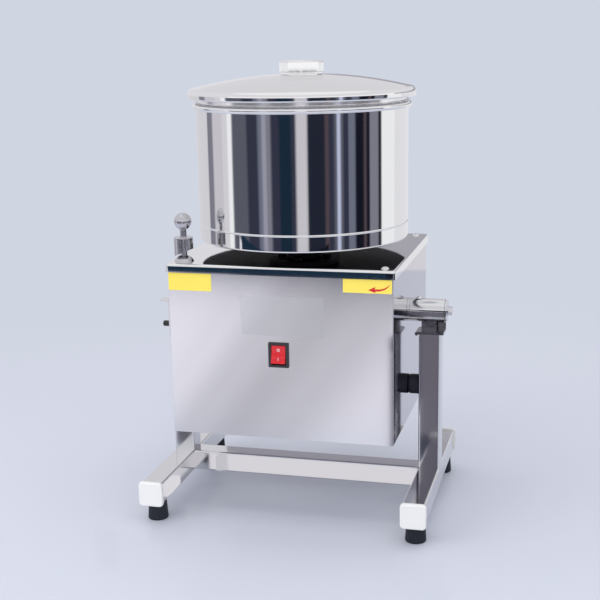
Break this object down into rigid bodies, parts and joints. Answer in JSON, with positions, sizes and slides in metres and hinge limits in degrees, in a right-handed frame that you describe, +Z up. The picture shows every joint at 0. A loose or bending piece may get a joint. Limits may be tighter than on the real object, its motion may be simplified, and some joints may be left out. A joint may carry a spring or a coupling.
{
  "type": "wet grinder",
  "caption": "Tilting wet grinder: a lidded steel drum with granite rollers turns on a sheet-metal housing that swings between the legs of a square-tube stand.",
  "frame": {"origin": "on the floor, under the middle of the machine's bounding box; the plane x = 0 is midway between the legs", "axes": "+Z up; +Y from the switch panel to the back; +X to the right of someone facing the switch"},
  "size_m": [0.3887, 0.2953, 0.5702],
  "materials": {
    "stand_tube": "polished stainless square tube",
    "polished_steel": "mirror-polished stainless",
    "satin_sheet": "satin stainless sheet",
    "plain_steel": "plain machined steel",
    "plated_steel": "bright plated steel",
    "cast_iron": "machined iron casting",
    "pulley_metal": "turned aluminium casting",
    "motor_paint": "dark enamel",
    "granite": "dressed black granite",
    "black_rubber": "moulded black rubber",
    "black_plastic": "moulded black plastic",
    "pale_plastic": "moulded white plastic",
    "bearing_plastic": "natural nylon",
    "red_plastic": "translucent red plastic"
  },
  "bodies": {
    "stand": {"foot_tube_left": "stand_tube", "foot_tube_right": "stand_tube", "cross_tube": "stand_tube", "leg_left": "stand_tube", "leg_right": "stand_tube", "end_caps": "pale_plastic", "rubber_feet": "black_rubber", "foot_screws": "plated_steel", "pivot_saddles": "stand_tube", "pivot_sleeves": "polished_steel", "pivot_bushes": "bearing_plastic", "oil_caps": "plated_steel", "stop_bushes": "black_rubber", "lock_bracket": "polished_steel"},
    "lock": {"lock_pin": "plated_steel", "lock_knob": "black_plastic", "lock_spring": "plated_steel"},
    "housing": {"front_panel": "satin_sheet", "side_panel_left": "satin_sheet", "side_panel_right": "satin_sheet", "back_panel": "satin_sheet", "bottom_plate": "satin_sheet", "deck_plate": "plain_steel", "top_cover": "polished_steel", "panel_screws": "plated_steel", "pivot_shafts": "plain_steel", "pivot_washers": "plated_steel", "pivot_bolt": "plated_steel", "bearing_housing": "cast_iron", "spindle_bearings": "plated_steel", "bearing_bolts": "plated_steel", "motor_plate": "plain_steel", "motor_body": "motor_paint", "motor_bolts": "plated_steel", "drive_belt": "black_rubber", "capacitor": "black_plastic", "switch_frame": "black_plastic", "cable_gland": "black_plastic", "latch_post": "plated_steel"},
    "rotor": {"motor_shaft": "plain_steel", "motor_pulley": "pulley_metal"},
    "rocker": {"switch_rocker": "red_plastic"},
    "latch": {"latch_sleeve": "polished_steel", "latch_spring": "plated_steel"},
    "drum": {"drum_shell": "polished_steel", "drum_hub": "plain_steel", "spindle": "plain_steel", "drum_pulley": "pulley_metal", "spindle_nut": "plated_steel", "hub_bolts": "plated_steel", "stone_pin": "plain_steel", "base_stone": "granite"},
    "yoke": {"roller_yoke": "polished_steel", "wiper_blade": "pale_plastic"},
    "roller_left": {"roller_stone_left": "granite"},
    "roller_right": {"roller_stone_right": "granite"},
    "lid": {"lid_shell": "polished_steel", "lid_skirt": "satin_sheet", "lid_knob": "polished_steel", "knob_screw": "plated_steel"}
  },
  "joints": [
    {"name": "lock_pull", "type": "slide", "parent": "stand", "child": "lock", "axis": [-1, 0, 0], "range_m": [0, 0.006], "stiffness_N_per_m": 500, "springref_m": -0.003, "deforming": ["lock_spring"]},
    {"name": "tilt", "type": "hinge", "parent": "stand", "child": "housing", "pos_m": [0, -0.004, 0.2598], "axis": [1, 0, 0], "range_deg": [0, 95]},
    {"name": "motor_spin", "type": "hinge", "parent": "housing", "child": "rotor", "pos_m": [-0.078, 0.0731, 0.236], "axis": [0, 0, 1], "continuous": true},
    {"name": "switch_rock", "type": "hinge", "parent": "housing", "child": "rocker", "pos_m": [-0.001, -0.12215, 0.225], "axis": [1, 0, 0], "range_deg": [0, 22]},
    {"name": "latch_lift", "type": "slide", "parent": "housing", "child": "latch", "axis": [0, 0, 1], "range_m": [0, 0.0055], "stiffness_N_per_m": 400, "springref_m": -0.004, "deforming": ["latch_spring"]},
    {"name": "drum_spin", "type": "hinge", "parent": "housing", "child": "drum", "pos_m": [0, 0.0051, 0.3], "axis": [0, 0, 1], "continuous": true},
    {"name": "yoke_turn", "type": "hinge", "parent": "drum", "child": "yoke", "pos_m": [0, 0.0051, 0.4329], "axis": [0, 0, 1], "continuous": true},
    {"name": "roller_left_spin", "type": "hinge", "parent": "yoke", "child": "roller_left", "pos_m": [-0.058, 0.0051, 0.4329], "axis": [1, 0, 0], "continuous": true},
    {"name": "roller_right_spin", "type": "hinge", "parent": "yoke", "child": "roller_right", "pos_m": [0.058, 0.0051, 0.4329], "axis": [1, 0, 0], "continuous": true},
    {"name": "lid_lift", "type": "slide", "parent": "drum", "child": "lid", "axis": [0, 0, 1], "range_m": [0, 0.12]}
  ],
  "couplings": [
    {"joint": "motor_spin", "follows": "drum_spin", "ratio": 5.1333},
    {"joint": "roller_left_spin", "follows": "yoke_turn", "ratio": 1.6571},
    {"joint": "roller_right_spin", "follows": "yoke_turn", "ratio": -1.6571}
  ]
}
